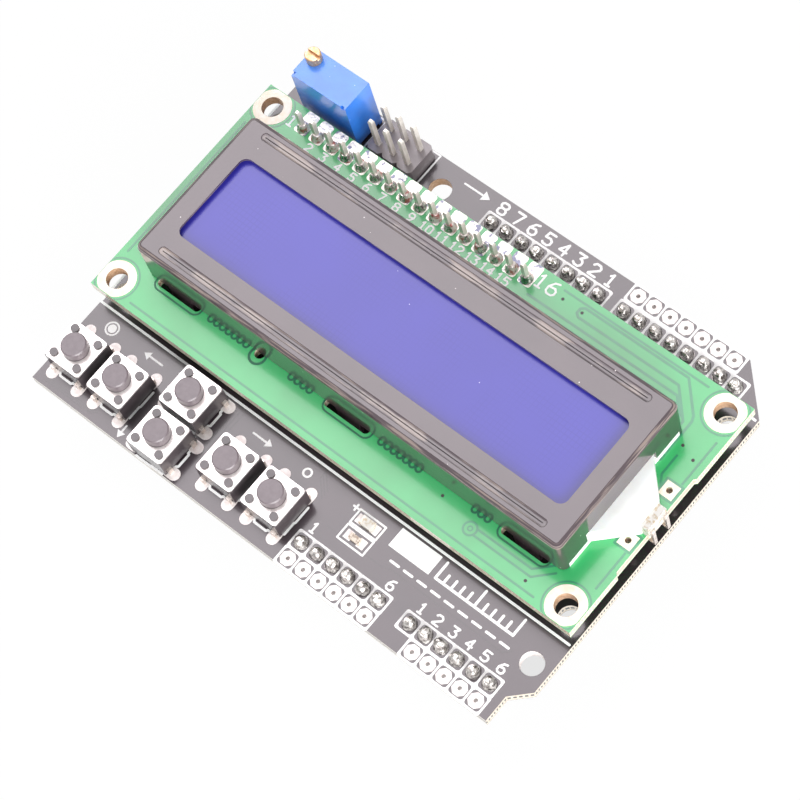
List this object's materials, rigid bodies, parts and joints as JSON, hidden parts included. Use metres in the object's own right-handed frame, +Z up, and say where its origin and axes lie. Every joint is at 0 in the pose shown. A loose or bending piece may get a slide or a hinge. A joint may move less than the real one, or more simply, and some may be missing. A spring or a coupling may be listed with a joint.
{
  "type": "character lcd keypad shield",
  "caption": "Plug-on black circuit board with a character LCD in a metal bezel, push-button keys, a contrast trimmer and pin headers below.",
  "frame": {"origin": "below the centre of the black board's outline, level with the tips of the header pins that point down", "axes": "+X along the display's reading direction, +Y from the keys towards the trimmer, +Z up out of the display"},
  "size_m": [0.0806, 0.056, 0.0219],
  "materials": {
    "black_board": "satin",
    "green_board": "gloss",
    "header_plastic": "satin",
    "plated_pin": "polished",
    "solder": "gloss",
    "bezel_paint": "satin",
    "display_glass": "gloss",
    "display_film": "gloss",
    "contact_rubber": "matte",
    "white_guide": "satin",
    "clear_lamp": "gloss",
    "tinned_metal": "gloss",
    "black_resin": "satin",
    "switch_plastic": "satin",
    "switch_steel": "satin",
    "button_plastic": "satin",
    "trimmer_blue": "satin",
    "screw_brass": "satin"
  },
  "bodies": {
    "shield": {"analog_header_pins": "plated_pin", "analog_header_strip": "header_plastic", "backlight_guide": "white_guide", "backlight_lamp": "clear_lamp", "backlight_lamp_leads": "tinned_metal", "backlight_transistor": "black_resin", "chip_resistors": "black_resin", "digital_high_header_pins": "plated_pin", "digital_high_header_strip": "header_plastic", "digital_low_header_pins": "plated_pin", "digital_low_header_strip": "header_plastic", "down_switch_base": "switch_plastic", "down_switch_cover": "switch_steel", "down_switch_dome": "switch_steel", "down_switch_terminals": "tinned_metal", "lcd_bezel": "bezel_paint", "lcd_board": "green_board", "lcd_contact_strips": "contact_rubber", "lcd_driver_blobs": "black_resin", "lcd_front_film": "display_film", "lcd_glass": "display_glass", "lcd_header_pins": "plated_pin", "lcd_header_strip": "header_plastic", "lcd_solder": "solder", "left_switch_base": "switch_plastic", "left_switch_cover": "switch_steel", "left_switch_dome": "switch_steel", "left_switch_terminals": "tinned_metal", "power_header_pins": "plated_pin", "power_header_strip": "header_plastic", "power_lamp": "clear_lamp", "programming_header_pins": "plated_pin", "programming_header_strip": "header_plastic", "reset_switch_base": "switch_plastic", "reset_switch_cover": "switch_steel", "reset_switch_dome": "switch_steel", "reset_switch_terminals": "tinned_metal", "right_switch_base": "switch_plastic", "right_switch_cover": "switch_steel", "right_switch_dome": "switch_steel", "right_switch_terminals": "tinned_metal", "select_switch_base": "switch_plastic", "select_switch_cover": "switch_steel", "select_switch_dome": "switch_steel", "select_switch_terminals": "tinned_metal", "shield_board": "black_board", "shield_solder": "solder", "trimmer_body": "trimmer_blue", "trimmer_pins": "tinned_metal", "up_switch_base": "switch_plastic", "up_switch_cover": "switch_steel", "up_switch_dome": "switch_steel", "up_switch_terminals": "tinned_metal"},
    "select_key": {"select_button": "button_plastic"},
    "left_key": {"left_button": "button_plastic"},
    "up_key": {"up_button": "button_plastic"},
    "down_key": {"down_button": "button_plastic"},
    "right_key": {"right_button": "button_plastic"},
    "reset_key": {"reset_button": "button_plastic"},
    "contrast_screw": {"trimmer_screw": "screw_brass"}
  },
  "joints": [
    {"name": "select_press", "type": "slide", "parent": "shield", "child": "select_key", "axis": [0, 0, -1], "range_m": [0, 0.00025], "stiffness_N_per_m": 6400, "deforming": ["select_switch_dome"]},
    {"name": "left_press", "type": "slide", "parent": "shield", "child": "left_key", "axis": [0, 0, -1], "range_m": [0, 0.00025], "stiffness_N_per_m": 6400, "deforming": ["left_switch_dome"]},
    {"name": "up_press", "type": "slide", "parent": "shield", "child": "up_key", "axis": [0, 0, -1], "range_m": [0, 0.00025], "stiffness_N_per_m": 6400, "deforming": ["up_switch_dome"]},
    {"name": "down_press", "type": "slide", "parent": "shield", "child": "down_key", "axis": [0, 0, -1], "range_m": [0, 0.00025], "stiffness_N_per_m": 6400, "deforming": ["down_switch_dome"]},
    {"name": "right_press", "type": "slide", "parent": "shield", "child": "right_key", "axis": [0, 0, -1], "range_m": [0, 0.00025], "stiffness_N_per_m": 6400, "deforming": ["right_switch_dome"]},
    {"name": "reset_press", "type": "slide", "parent": "shield", "child": "reset_key", "axis": [0, 0, -1], "range_m": [0, 0.00025], "stiffness_N_per_m": 6400, "deforming": ["reset_switch_dome"]},
    {"name": "contrast_turn", "type": "hinge", "parent": "shield", "child": "contrast_screw", "pos_m": [-0.03474, 0.02598, 0.02017], "axis": [0, 0, 1], "continuous": true}
  ]
}
